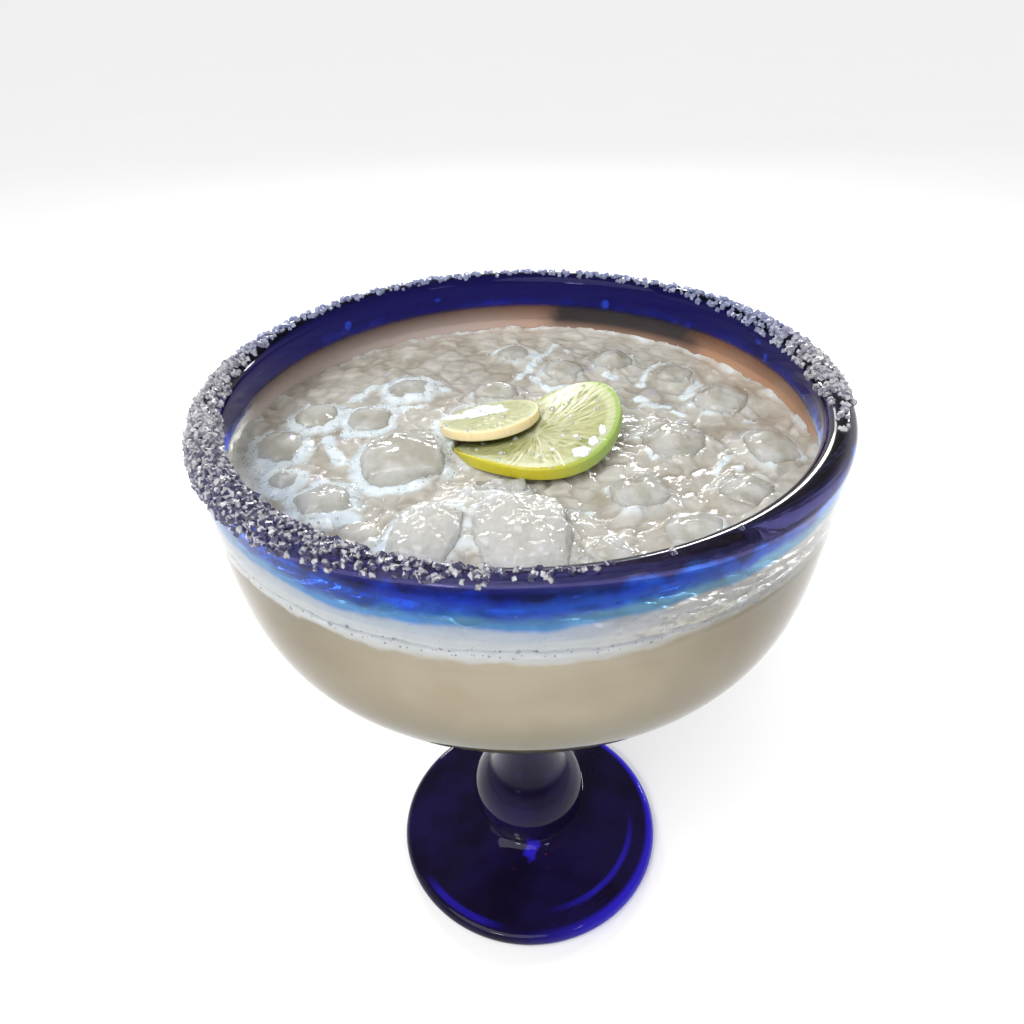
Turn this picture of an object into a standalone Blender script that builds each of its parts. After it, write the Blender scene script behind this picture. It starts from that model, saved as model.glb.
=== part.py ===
"""A margarita in a hand-blown glass: a clear bowl with a blue rolled lip, on a blue stem and foot.

The bowl holds a cloudy drink with lumps of ice and two lime slices, and the lip carries a crust of
coarse salt. Metres, +Z up. The origin is the middle of the foot's flat underside.
"""

import math
from collections import namedtuple

import bmesh
import bpy
import numpy as np
from mathutils import Matrix, Vector, noise

MM = 0.001

# Driving sizes of the glass
GLASS_HEIGHT = 156.5 * MM
LIP_RADIUS = 62.9 * MM          # from the axis to the crest of the rolled lip
LIP_HALF_WIDTH = 3.1 * MM
LIP_CROWN = 3.0 * MM            # the crest above the lip's widest line
LIP_BAND = 7.5 * MM             # depth of the thick blue lip inside the bowl
BOWL_DEPTH = 56.0 * MM          # from the crest to the bowl's outer underside
BOWL_TAPER = 0.057              # radians, how far the side leans in below the lip
SIDE_PULL = 45.7 * MM           # length of the curve's handle down the side
BASE_PULL = 50.9 * MM           # length of the curve's handle along the underside
WALL = 3.0 * MM
FLOOR = 5.0 * MM                # glass under the drink, at the axis
BAND_END = 0.08                 # share of the way down the side where the lip's band has thinned out
NECK_RADIUS = 14.0 * MM         # where the bowl's underside turns into the stem
NECK_PULL = 3.8 * MM            # handles of the curve that turns there, across and down
NECK_DROP = 8.0 * MM
WAIST_RADIUS = 8.8 * MM
WAIST_HEIGHT = 62.0 * MM
WAIST_PULL = 14.0 * MM          # handle of the curve that runs down from the waist
KNOP_RADIUS = 16.4 * MM         # the solid ball between the stem and the foot
KNOP_HEIGHT = 21.0 * MM         # to the ball's middle
KNOP_ENDS = (48.0, -38.0)       # where the ball leaves the stem and meets the foot, in degrees
KNOP_PULL = 4.8 * MM            # handle of the curve that reaches the ball
FOOT_RADIUS = 38.8 * MM
FOOT_EDGE = 2.2 * MM            # radius of the foot's rounded rim
FOOT_DISH = ((14.5 * MM, 8.2 * MM), (25.0 * MM, 6.4 * MM))  # handle points of the foot's upper side
TURN_STEPS = 36

# The drink and what floats in it
LEVEL = GLASS_HEIGHT - 15.4 * MM
GAP = 0.35 * MM                 # between pieces that touch
SWELL = 0.6 * MM                # unevenness of the drink's surface between the lumps
SWELL_SPACING = 9.0 * MM
RINGS = (0.0, 0.35, 0.65, 0.9, 1.0)  # of the drink's surface, as shares of its radius

# The salt crust, by angle round the rim from +X towards +Y, in degrees
SALT_FIRST = -76.0
SALT_SWEEP = -308.0             # clockwise over the left and the back to the right side
SALT_STATIONS = 62
SALT_POINTS = 7                 # across the crust, above and again below
SALT_TAPER = 12.0               # how fast the two ends swell to full size
SALT_LEFT = (-155.0, 42.0)      # middle and spread of the two thicker stretches
SALT_RIGHT = (-8.0, 26.0)
# Sizes of the crust in millimetres: everywhere, more on the left, more on the right
SALT_INWARD = (1.5, 2.6, 1.6)
SALT_OUTWARD = (3.0, 4.6, 1.8)
SALT_THICKNESS = (0.55, 0.35, 0.1)
SALT_RAGGED = 0.9 * MM          # unevenness of the outer edge
SALT_LUMP = 0.4 * MM            # height and spacing of the crust's lumps
SALT_SPACING = 2.4 * MM
SALT_THINNEST = 0.25 * MM
SALT_GAP = 0.4 * MM             # under the crust, which spans the facets of the lip

# A lump of ice: its place from the axis, its size, how far it stands out of the drink (all in
# millimetres), its turn in degrees, and how round it is, from 0, a cube, to 1, an egg
Ice = namedtuple("Ice", "x y width depth height top turn round")
ICE = [
    Ice(-0.4, -35.6, 19.0, 23.0, 17.0, 5.6, 4, 0.45),
    Ice(-17.6, -36.0, 14.0, 19.0, 15.0, 5.2, -12, 0.50),
    Ice(-4.6, -20.8, 12.4, 5.0, 9.0, 3.6, 6, 0.55),
    Ice(-24.8, -8.6, 18.0, 19.5, 17.0, 5.4, 8, 0.45),
    Ice(-38.8, -22.6, 13.4, 14.0, 12.0, 2.6, 28, 0.85),
    Ice(-48.8, -14.6, 7.4, 7.4, 8.0, 2.0, 0, 0.80),
    Ice(-52.0, -1.6, 11.0, 13.6, 10.0, 2.8, 4, 0.70),
    Ice(-46.8, 12.0, 11.4, 12.0, 11.0, 2.6, -18, 0.75),
    Ice(-34.2, 9.8, 12.0, 12.4, 11.0, 2.6, 12, 0.70),
    Ice(-27.0, 25.4, 13.0, 11.0, 10.0, 2.0, 25, 0.75),
    Ice(-5.8, 21.8, 12.4, 8.4, 10.0, 2.8, -6, 0.70),
    Ice(-1.6, 43.6, 10.4, 10.0, 9.0, 2.2, 20, 0.80),
    Ice(10.6, 33.0, 11.0, 10.6, 10.0, 2.6, -20, 0.70),
    Ice(23.2, 38.0, 12.0, 11.4, 10.0, 2.6, 15, 0.70),
    Ice(37.4, 29.8, 11.4, 10.8, 10.0, 2.4, 35, 0.75),
    Ice(46.2, 15.4, 13.4, 15.4, 12.0, 3.4, -24, 0.60),
    Ice(52.0, -6.0, 11.2, 12.4, 12.0, 3.6, 12, 0.50),
    Ice(32.4, -2.4, 17.0, 16.0, 13.0, 2.6, 18, 0.70),
    Ice(43.6, -21.6, 12.4, 12.4, 11.0, 2.2, -30, 0.65),
    Ice(22.6, -22.0, 12.4, 11.0, 11.0, 3.0, 22, 0.50),
    Ice(31.0, -34.6, 13.0, 12.0, 12.0, 2.8, -15, 0.55),
    Ice(14.8, -41.8, 7.4, 8.6, 10.0, 3.4, 40, 0.30),
]
BIG_ICE = 17.0                  # lumps this wide, in millimetres, get a finer cage
LEAST_ROUND = 0.35              # rounding of a lump whose `round` is 0
ICE_CRAGS = 0.11                # depth of the lumps' unevenness, as a share of their size
CRAG_COUNT = 1.9                # crags across half a lump
NEXT_LUMP = 7.0                 # step through the noise from one lump to the next

# A lime wheel: its middle above the drink's surface, its tilt back at the middle, the extra tilt
# at its right edge, its rise to the right and its upward bow (lengths in millimetres)
Wheel = namedtuple("Wheel", "x y z radius thickness tilt twist rise bow")
LIME_WHEEL = Wheel(3.3, -1.1, 1.3, 17.8, 2.6, -0.11, 0.31, 0.29, 1.7)
LIME_SLICE = Wheel(-7.0, 5.6, 2.0, 11.0, 2.2, -0.22, 0.04, 0.16, 0.5)
LIME_STEPS = 24
LIME_BEVEL = 0.35               # of half the slice's thickness
LIME_RING = 0.55                # radius of the ring inside a slice that lets it bend, as a share


def material(name, colour, roughness, transmission=0.0):
    """A plain Principled material."""
    made = bpy.data.materials.new(name)
    made.use_nodes = True
    shader = made.node_tree.nodes["Principled BSDF"]
    shader.inputs["Base Color"].default_value = (*colour, 1.0)
    shader.inputs["Roughness"].default_value = roughness
    shader.inputs["Metallic"].default_value = 0.0
    shader.inputs["Transmission Weight"].default_value = transmission
    return made


def new_object(name, mesh, collection, finish=None):
    made = bpy.data.objects.new(name, mesh)
    collection.objects.link(made)
    if finish:
        mesh.materials.append(finish)
    return made


def bezier(start, first, second, end, along):
    """Points on a cubic curve, at shares of the way from start to end."""
    u = np.asarray(along)[:, None]
    start, first, second, end = (np.array(point) for point in (start, first, second, end))
    return (1 - u) ** 3 * start + 3 * (1 - u) ** 2 * u * first + 3 * (1 - u) * u**2 * second + u**3 * end


def normals_of(points):
    """Unit normals of a profile, to the left of its direction of travel."""
    along = np.gradient(points, axis=0)
    along /= np.linalg.norm(along, axis=1)[:, None]
    return np.stack([-along[:, 1], along[:, 0]], axis=1)


def bowl_side(along):
    """The bowl's outer side as (radius, height), from under the lip to the neck of the stem."""
    top = (LIP_RADIUS + LIP_HALF_WIDTH, GLASS_HEIGHT - LIP_CROWN)
    lean = (-SIDE_PULL * math.sin(BOWL_TAPER), -SIDE_PULL * math.cos(BOWL_TAPER))
    base = (NECK_RADIUS, GLASS_HEIGHT - BOWL_DEPTH)
    return bezier(top, (top[0] + lean[0], top[1] + lean[1]), (base[0] + BASE_PULL, base[1]), base, along)


def bowl_inside(clearance=0.0):
    """The bowl's inner side as (radius, height), from the end of the lip's band to the axis."""
    along = np.linspace(BAND_END, 1.0, 11)
    outer = bowl_side(along)
    thickness = WALL + (FLOOR - WALL) * along**2 + clearance
    # The side travels down, so its left-hand normal points away from the axis
    inner = outer - normals_of(outer) * thickness[:, None]
    return np.vstack([inner, [[0.0, inner[-1, 1]]]])


def lip(count):
    """The rolled lip as (radius, height), from its inner side over the crest to its outer side."""
    turn = np.linspace(math.pi, 0.0, count)
    middle = GLASS_HEIGHT - LIP_CROWN
    return np.stack([LIP_RADIUS + LIP_HALF_WIDTH * np.cos(turn), middle + LIP_CROWN * np.sin(turn)], axis=1)


def arc(centre, radius, first, last, count):
    """Points on part of a circle in a profile; angles in degrees, 0 outward and 90 up."""
    turn = np.radians(np.linspace(first, last, count))
    return np.stack([centre[0] + radius * np.cos(turn), centre[1] + radius * np.sin(turn)], axis=1)


def stem_and_foot():
    """The stem, its ball and the foot as (radius, height), from the bowl's underside to the axis below."""
    neck = (NECK_RADIUS, GLASS_HEIGHT - BOWL_DEPTH)
    waist = (WAIST_RADIUS, WAIST_HEIGHT)
    foot_top = (FOOT_RADIUS - FOOT_EDGE, 2 * FOOT_EDGE)
    knop = arc((0.0, KNOP_HEIGHT), KNOP_RADIUS, *KNOP_ENDS, 7)
    along = np.linspace(0.0, 1.0, 5)
    into_neck = ((NECK_RADIUS - NECK_PULL, neck[1]), (WAIST_RADIUS, neck[1] - NECK_DROP))
    into_knop = ((WAIST_RADIUS, WAIST_HEIGHT - WAIST_PULL), (WAIST_RADIUS, knop[0, 1] + KNOP_PULL))
    upper = bezier(neck, *into_neck, waist, along)
    lower = bezier(waist, *into_knop, knop[0], along)
    foot = bezier(knop[-1], *FOOT_DISH, foot_top, along)
    edge = arc((foot_top[0], FOOT_EDGE), FOOT_EDGE, 90.0, -90.0, 4)
    return np.vstack([upper[1:], lower[1:-1], knop, foot[1:], edge[1:], [[0.0, 0.0]]])


def turned(name, profile, collection, finish, steps=TURN_STEPS):
    """A body turned about the Z axis from a profile whose outer side runs down."""
    mesh = bpy.data.meshes.new(name)
    points = [(radius, 0.0, height) for radius, height in profile]
    mesh.from_pydata(points, [(i, i + 1) for i in range(len(points) - 1)], [])
    made = new_object(name, mesh, collection, finish)
    screw = made.modifiers.new("Turn", "SCREW")
    screw.axis = "Z"
    screw.angle = math.tau
    screw.steps = screw.render_steps = steps
    screw.use_merge_vertices = True
    screw.merge_threshold = 0.00001
    screw.use_smooth_shade = True
    return made


def fixed(made):
    """Turns an object's modifiers into its mesh."""
    bpy.context.view_layer.update()
    graph = bpy.context.evaluated_depsgraph_get()
    mesh = bpy.data.meshes.new_from_object(made.evaluated_get(graph))
    made.modifiers.clear()
    made.data = mesh
    return made


def glass(collection):
    """One blown piece: the inner side of the bowl, the lip, the outer side, the stem and the foot."""
    inside = bowl_inside()[::-1]
    band = [(LIP_RADIUS - LIP_HALF_WIDTH, GLASS_HEIGHT - LIP_BAND)]
    profile = np.vstack([inside, band, lip(7), bowl_side(np.linspace(0, 1, 11))[1:], stem_and_foot()])
    return turned("glass", profile, collection, material("clear glass", (0.92, 0.94, 0.93), 0.03, 0.9))


def drink(collection):
    """The drink up to its level, with a slightly uneven surface."""
    wall = bowl_inside(GAP)
    shore = float(np.interp(LEVEL, wall[1::-1, 1], wall[1::-1, 0]))
    rings = [(shore * share, LEVEL) for share in RINGS]
    cloudy = material("drink", (0.62, 0.57, 0.44), 0.2)
    made = fixed(turned("drink", np.vstack([rings, wall[1:]]), collection, cloudy))
    for vertex in made.data.vertices:
        if vertex.co.z > LEVEL - SWELL and vertex.co.xy.length < shore - SWELL:
            vertex.co.z += SWELL * noise.noise(vertex.co / SWELL_SPACING)
    return made


def lump_of_ice(number, lump, collection, finish):
    """A worn ice cube: a cube's cage rounded towards a ball, with shallow crags."""
    shape = bmesh.new()
    bmesh.ops.create_cube(shape, size=2.0)
    cuts = 3 if lump.width >= BIG_ICE else 2
    bmesh.ops.subdivide_edges(shape, edges=shape.edges, cuts=cuts, use_grid_fill=True)
    half = Vector((lump.width, lump.depth, lump.height)) * (MM / 2)
    turn = Matrix.Rotation(math.radians(lump.turn), 3, "Z")
    middle = Vector((lump.x * MM, lump.y * MM, LEVEL + lump.top * MM - half.z))
    for vertex in shape.verts:
        outward = vertex.co.normalized()
        rounded = vertex.co.lerp(outward, LEAST_ROUND + (1.0 - LEAST_ROUND) * lump.round)
        crag = noise.noise(outward * CRAG_COUNT + Vector((number * NEXT_LUMP, 0.0, 0.0)))
        rounded += outward * (ICE_CRAGS * crag)
        vertex.co = middle + turn @ (rounded * half)
    bmesh.ops.triangulate(shape, faces=shape.faces)
    mesh = bpy.data.meshes.new(f"ice_{number:02d}")
    shape.to_mesh(mesh)
    shape.free()
    mesh.shade_smooth()
    return new_object(mesh.name, mesh, collection, finish)


def lime(name, wheel, collection, finish):
    """A round slice of lime, twisted and bowed as it lies on the ice."""
    radius, half = wheel.radius * MM, wheel.thickness * MM / 2
    edge = LIME_BEVEL * half
    profile = [(0.0, half), (radius * LIME_RING, half), (radius - edge, half), (radius, half - edge)]
    profile += [(across, -height) for across, height in reversed(profile)]
    made = fixed(turned(name, np.array(profile), collection, finish, LIME_STEPS))
    for vertex in made.data.vertices:
        u, v, w = vertex.co
        share = u / radius
        tilt = wheel.tilt + wheel.twist * share
        lift = wheel.rise * u + wheel.bow * MM * share**2
        vertex.co.y = wheel.y * MM + v * math.cos(tilt) - w * math.sin(tilt)
        vertex.co.z = LEVEL + wheel.z * MM + v * math.sin(tilt) + w * math.cos(tilt) + lift
        vertex.co.x = wheel.x * MM + u - w * wheel.rise
    shape = bmesh.new()
    shape.from_mesh(made.data)
    bmesh.ops.triangulate(shape, faces=shape.faces)
    shape.to_mesh(made.data)
    shape.free()
    return made


def near(angle, middle, spread):
    """1 at an angle round the rim, falling to 0 away from it."""
    apart = (angle - middle + 180.0) % 360.0 - 180.0
    return math.exp(-((apart / spread) ** 2))


def sized(sizes, angle):
    """A size of the crust at an angle round the rim, in metres."""
    everywhere, left, right = sizes
    return (everywhere + left * near(angle, *SALT_LEFT) + right * near(angle, *SALT_RIGHT)) * MM


def rim_outline():
    """The rim's outline by its length from the crest, less than 0 inside: lengths, points, normals."""
    inner = np.linspace([LIP_RADIUS - LIP_HALF_WIDTH, GLASS_HEIGHT - LIP_BAND],
                        [LIP_RADIUS - LIP_HALF_WIDTH, GLASS_HEIGHT - LIP_CROWN], 12)[:-1]
    side = bowl_side(np.linspace(0.0, 0.4, 60))[1:]
    points = np.vstack([inner, lip(48), side])
    steps = np.linalg.norm(np.diff(points, axis=0), axis=1)
    lengths = np.concatenate([[0.0], np.cumsum(steps)])
    return lengths - lengths[np.argmax(points[:, 1])], points, normals_of(points)


def salt(collection):
    """The salt crust: a lumpy band that follows the rim, thick and deep on the left."""
    lengths, points, normals = rim_outline()

    def on_rim(length, off):
        radius, height = (np.interp(length, lengths, points[:, i] + normals[:, i] * off) for i in (0, 1))
        return Vector((radius, 0.0, height))

    shape = bmesh.new()
    rings = []
    for station in range(SALT_STATIONS + 1):
        share = station / SALT_STATIONS
        angle = SALT_FIRST + SALT_SWEEP * share
        taper = min(1.0, 0.25 + SALT_TAPER * min(share, 1.0 - share))
        inner = -sized(SALT_INWARD, angle) * taper
        outer = sized(SALT_OUTWARD, angle) * taper
        outer += SALT_RAGGED * noise.noise(Vector((angle / 5.0, 3.0, 0.0)))
        around = Matrix.Rotation(math.radians(angle), 3, "Z")
        ring = []
        for across in np.linspace(0.0, 1.0, SALT_POINTS):
            length = inner + (outer - inner) * across
            crust = sized(SALT_THICKNESS, angle) * taper * (0.35 + 0.65 * math.sin(math.pi * across) ** 0.6)
            at = around @ on_rim(length, GAP + crust)
            lump = SALT_LUMP * noise.noise(at / SALT_SPACING)
            ring.append(shape.verts.new(around @ on_rim(length, GAP + max(crust + lump, SALT_THINNEST))))
        for across in np.linspace(0.97, 0.03, SALT_POINTS):
            ring.append(shape.verts.new(around @ on_rim(inner + (outer - inner) * across, SALT_GAP)))
        rings.append(ring)
    for one, other in zip(rings, rings[1:]):
        for i, vertex in enumerate(one):
            after = (i + 1) % len(one)
            shape.faces.new((vertex, one[after], other[after], other[i]))
    shape.faces.new(rings[0])
    shape.faces.new(rings[-1])
    bmesh.ops.recalc_face_normals(shape, faces=shape.faces)
    mesh = bpy.data.meshes.new("salt_crust")
    shape.to_mesh(mesh)
    shape.free()
    return new_object("salt_crust", mesh, collection, material("salt", (0.72, 0.72, 0.76), 0.5))


def grown(made, collection):
    """A copy of a piece, larger all round by the gap, that cuts its bed in the drink."""
    mesh = made.data.copy()
    cutter = new_object("bed_" + made.name, mesh, collection)
    outward = [normal.vector.copy() for normal in mesh.vertex_normals]
    for vertex, normal in zip(mesh.vertices, outward):
        vertex.co += normal * GAP
    cutter.hide_render = True
    cutter.display_type = "WIRE"
    return cutter


def main():
    for leftover in list(bpy.data.objects):
        bpy.data.objects.remove(leftover)
    parts = bpy.data.collections.new("margarita")
    beds = bpy.data.collections.new("beds")
    beds.hide_render = True
    for collection in (parts, beds):
        bpy.context.scene.collection.children.link(collection)

    glass(parts)
    liquid = drink(parts)
    frost = material("ice", (0.80, 0.80, 0.76), 0.15, 0.6)
    flesh = material("lime", (0.62, 0.68, 0.25), 0.35)
    floating = [lump_of_ice(number, lump, parts, frost) for number, lump in enumerate(ICE, 1)]
    floating.append(lime("lime_wheel", LIME_WHEEL, parts, flesh))
    floating.append(lime("lime_slice", LIME_SLICE, parts, flesh))
    salt(parts)

    for piece in floating:
        grown(piece, beds)
    cut = liquid.modifiers.new("Beds", "BOOLEAN")
    cut.operation = "DIFFERENCE"
    cut.operand_type = "COLLECTION"
    cut.collection = beds
    cut.solver = "EXACT"


main()
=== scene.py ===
import math
from collections import namedtuple

import bmesh
import bpy
import numpy as np
from mathutils import Matrix, Vector, noise
from mathutils.bvhtree import BVHTree


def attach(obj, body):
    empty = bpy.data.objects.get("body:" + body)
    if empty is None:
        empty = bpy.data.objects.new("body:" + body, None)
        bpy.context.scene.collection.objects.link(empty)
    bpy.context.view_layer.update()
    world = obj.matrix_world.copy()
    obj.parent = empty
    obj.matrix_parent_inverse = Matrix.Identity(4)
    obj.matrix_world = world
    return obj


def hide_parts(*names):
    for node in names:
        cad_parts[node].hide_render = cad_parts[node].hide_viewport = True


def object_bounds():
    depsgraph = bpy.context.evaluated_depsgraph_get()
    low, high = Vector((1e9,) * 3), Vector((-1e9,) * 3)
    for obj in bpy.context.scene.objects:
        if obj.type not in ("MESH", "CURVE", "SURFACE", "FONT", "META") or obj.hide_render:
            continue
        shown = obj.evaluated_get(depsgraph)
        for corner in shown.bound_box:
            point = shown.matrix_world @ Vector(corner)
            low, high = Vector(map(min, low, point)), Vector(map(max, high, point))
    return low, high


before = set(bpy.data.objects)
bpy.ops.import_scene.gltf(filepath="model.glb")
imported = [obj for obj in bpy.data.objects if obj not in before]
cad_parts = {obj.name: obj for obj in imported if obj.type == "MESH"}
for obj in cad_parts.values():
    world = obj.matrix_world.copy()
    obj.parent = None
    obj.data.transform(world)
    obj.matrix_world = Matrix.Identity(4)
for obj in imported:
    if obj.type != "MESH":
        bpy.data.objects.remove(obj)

MM = 0.001
cad_box = [list(corner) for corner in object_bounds()]

# The glass is one hand-blown piece: a clear bowl whose rolled lip was dipped in cobalt blue, on a
# stem, a solid ball and a foot of the same cobalt. It is turned from one profile and stands on its
# foot. The blue thins out below the lip in an uneven edge.
GLASS_HEIGHT = 156.5 * MM
LIP_RADIUS = 62.9 * MM
LIP_HALF_WIDTH = 3.1 * MM
LIP_CROWN = 3.0 * MM
LIP_BAND = 7.5 * MM
BOWL_DEPTH = 56.0 * MM
BOWL_TAPER = 0.057
SIDE_PULL = 45.7 * MM
BASE_PULL = 50.9 * MM
WALL = 3.0 * MM
FLOOR = 5.0 * MM
BAND_END = 0.08
NECK_RADIUS = 14.0 * MM
NECK_PULL = 3.8 * MM
NECK_DROP = 8.0 * MM
WAIST_RADIUS = 8.8 * MM
WAIST_HEIGHT = 62.0 * MM
WAIST_PULL = 14.0 * MM
KNOP_RADIUS = 16.4 * MM
KNOP_HEIGHT = 21.0 * MM
KNOP_ENDS = (48.0, -38.0)
KNOP_PULL = 4.8 * MM
FOOT_RADIUS = 38.8 * MM
FOOT_EDGE = 2.2 * MM
FOOT_DISH = ((14.5 * MM, 8.2 * MM), (25.0 * MM, 6.4 * MM))
GLASS_TURNS = 256


def bezier(start, first, second, end, along):
    """Points on a cubic curve, at shares of the way from start to end."""
    u = np.asarray(along)[:, None]
    start, first, second, end = (np.array(point) for point in (start, first, second, end))
    return ((1 - u) ** 3 * start + 3 * (1 - u) ** 2 * u * first
            + 3 * (1 - u) * u**2 * second + u**3 * end)


def normals_of(points):
    """Unit normals of a profile, to the left of its direction of travel."""
    along = np.gradient(points, axis=0)
    along /= np.linalg.norm(along, axis=1)[:, None]
    return np.stack([-along[:, 1], along[:, 0]], axis=1)


def bowl_side(along):
    """The bowl's outer side as (radius, height), from under the lip to the neck of the stem."""
    top = (LIP_RADIUS + LIP_HALF_WIDTH, GLASS_HEIGHT - LIP_CROWN)
    lean = (-SIDE_PULL * math.sin(BOWL_TAPER), -SIDE_PULL * math.cos(BOWL_TAPER))
    base = (NECK_RADIUS, GLASS_HEIGHT - BOWL_DEPTH)
    leaning = (top[0] + lean[0], top[1] + lean[1])
    return bezier(top, leaning, (base[0] + BASE_PULL, base[1]), base, along)


def bowl_inside(clearance=0.0, count=48):
    """The bowl's inner side as (radius, height), from the end of the lip's band to the axis."""
    along = np.linspace(BAND_END, 1.0, count)
    outer = bowl_side(along)
    thickness = WALL + (FLOOR - WALL) * along**2 + clearance
    inner = outer - normals_of(outer) * thickness[:, None]
    return np.vstack([inner, [[0.0, inner[-1, 1]]]])


def lip(count):
    """The rolled lip as (radius, height), from its inner side over the crest to its outer side."""
    turn = np.linspace(math.pi, 0.0, count)
    middle = GLASS_HEIGHT - LIP_CROWN
    return np.stack([LIP_RADIUS + LIP_HALF_WIDTH * np.cos(turn),
                     middle + LIP_CROWN * np.sin(turn)], axis=1)


def arc(centre, radius, first, last, count):
    """Points on part of a circle in a profile; angles in degrees, 0 outward and 90 up."""
    turn = np.radians(np.linspace(first, last, count))
    return np.stack([centre[0] + radius * np.cos(turn), centre[1] + radius * np.sin(turn)], axis=1)


def stem_and_foot():
    """The stem, ball and foot as (radius, height), from the bowl's underside to the axis below."""
    neck = (NECK_RADIUS, GLASS_HEIGHT - BOWL_DEPTH)
    waist = (WAIST_RADIUS, WAIST_HEIGHT)
    foot_top = (FOOT_RADIUS - FOOT_EDGE, 2 * FOOT_EDGE)
    knop = arc((0.0, KNOP_HEIGHT), KNOP_RADIUS, *KNOP_ENDS, 32)
    along = np.linspace(0.0, 1.0, 20)
    into_neck = ((NECK_RADIUS - NECK_PULL, neck[1]), (WAIST_RADIUS, neck[1] - NECK_DROP))
    into_knop = ((WAIST_RADIUS, WAIST_HEIGHT - WAIST_PULL), (WAIST_RADIUS, knop[0, 1] + KNOP_PULL))
    upper = bezier(neck, *into_neck, waist, along)
    lower = bezier(waist, *into_knop, knop[0], along)
    foot = bezier(knop[-1], *FOOT_DISH, foot_top, along)
    edge = arc((foot_top[0], FOOT_EDGE), FOOT_EDGE, 90.0, -90.0, 14)
    return np.vstack([upper[1:], lower[1:-1], knop, foot[1:], edge[1:], [[0.0, 0.0]]])


def linked(name, mesh, finish):
    """A new object in the scene with its material."""
    made = bpy.data.objects.new(name, mesh)
    bpy.context.scene.collection.objects.link(made)
    if finish:
        mesh.materials.append(finish)
    return made


def plain(made):
    """Turns an object's modifiers into its mesh."""
    bpy.context.view_layer.update()
    graph = bpy.context.evaluated_depsgraph_get()
    mesh = bpy.data.meshes.new_from_object(made.evaluated_get(graph))
    made.modifiers.clear()
    made.data = mesh
    return made


def turned(name, profile, finish, steps):
    """A body turned about the Z axis from a profile whose outer side runs down."""
    mesh = bpy.data.meshes.new(name)
    points = [(radius, 0.0, height) for radius, height in profile]
    mesh.from_pydata(points, [(i, i + 1) for i in range(len(points) - 1)], [])
    made = linked(name, mesh, None)
    screw = made.modifiers.new("Turn", "SCREW")
    screw.axis = "Z"
    screw.angle = math.tau
    screw.steps = screw.render_steps = steps
    screw.use_merge_vertices = True
    screw.merge_threshold = 0.00001
    screw.use_smooth_shade = True
    plain(made)
    if finish:
        made.data.materials.append(finish)
    return made


class Value:
    """A socket that takes part in sums: each operator adds its Math node."""

    def __init__(self, tree, socket):
        self.tree, self.socket = tree, socket

    def math(self, operation, *others):
        node = self.tree.nodes.new("ShaderNodeMath")
        node.operation = operation
        for place, value in enumerate((self, *others)):
            put(self.tree, node.inputs[place], value)
        return Value(self.tree, node.outputs[0])

    def __add__(self, other):
        return self.math("ADD", other)

    __radd__ = __add__

    def __mul__(self, other):
        return self.math("MULTIPLY", other)

    __rmul__ = __mul__

    def __sub__(self, other):
        return self.math("SUBTRACT", other)

    def __rsub__(self, other):
        return (self * -1.0).math("ADD", other)

    def __truediv__(self, other):
        return self.math("DIVIDE", other)

    def __pow__(self, other):
        return self.math("POWER", other)

    def ramp(self, low, high, first=0.0, last=1.0):
        """Runs smoothly from first to last as this value goes from low to high."""
        node = self.tree.nodes.new("ShaderNodeMapRange")
        node.interpolation_type = "SMOOTHSTEP"
        for place, value in enumerate((self, low, high, first, last)):
            put(self.tree, node.inputs[place], value)
        return Value(self.tree, node.outputs[0])


def put(tree, socket, value):
    """Links or sets one input socket."""
    if isinstance(value, Value):
        tree.links.new(value.socket, socket)
    elif socket.type == "RGBA" and len(value) == 3:
        socket.default_value = (*value, 1.0)
    else:
        socket.default_value = value


class Finish:
    """A Principled material and the nodes that vary it."""

    def __init__(self, name, **constants):
        self.material = bpy.data.materials.new(name)
        self.material.use_nodes = True
        self.tree = self.material.node_tree
        self.shader = self.tree.nodes["Principled BSDF"]
        for socket, value in constants.items():
            put(self.tree, self.shader.inputs[socket.replace("_", " ")], value)

    def node(self, kind, settings=None, output=0, **values):
        """The output of a new node; spaces in a socket's name are written as _."""
        made = self.tree.nodes.new("ShaderNode" + kind)
        for setting, value in (settings or {}).items():
            setattr(made, setting, value)
        for name, value in values.items():
            key = int(name[1:]) if name[0] == "i" and name[1:].isdigit() else name.replace("_", " ")
            put(self.tree, made.inputs[key], value)
        return Value(self.tree, made.outputs[output])

    def place(self):
        """Object coordinates, in metres."""
        return self.node("TexCoord", output="Object")

    def axes(self, vector):
        """The three parts of a vector."""
        split = self.node("SeparateXYZ", i0=vector)
        return [Value(self.tree, socket) for socket in split.socket.node.outputs]

    def vector(self, x, y, z):
        return self.node("CombineXYZ", i0=x, i1=y, i2=z)

    def noise(self, size, detail=2.0, vector=None):
        """Noise of a feature size in millimetres, around 0.5."""
        return self.node("TexNoise", Vector=vector or self.place(), Scale=1.0 / (size * MM),
                         Detail=detail)

    def cells(self, size):
        """Voronoi cells of a size in millimetres."""
        return self.node("TexVoronoi", {"feature": "F1"}, "Distance", Vector=self.place(),
                         Scale=1.0 / (size * MM))

    def blend(self, share, first, second):
        """A colour between two colours."""
        made = self.tree.nodes.new("ShaderNodeMix")
        made.data_type, made.clamp_factor = "RGBA", True
        for place, value in ((0, share), (6, first), (7, second)):
            put(self.tree, made.inputs[place], value)
        return Value(self.tree, made.outputs[2])

    def bump(self, height, distance):
        """Bumps of a height in millimetres on the shader's normal."""
        bent = self.node("Bump", Height=height, Distance=distance * MM, Strength=1.0)
        put(self.tree, self.shader.inputs["Normal"], bent)

    def set(self, **values):
        for socket, value in values.items():
            put(self.tree, self.shader.inputs[socket.replace("_", " ")], value)
        return self


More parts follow.
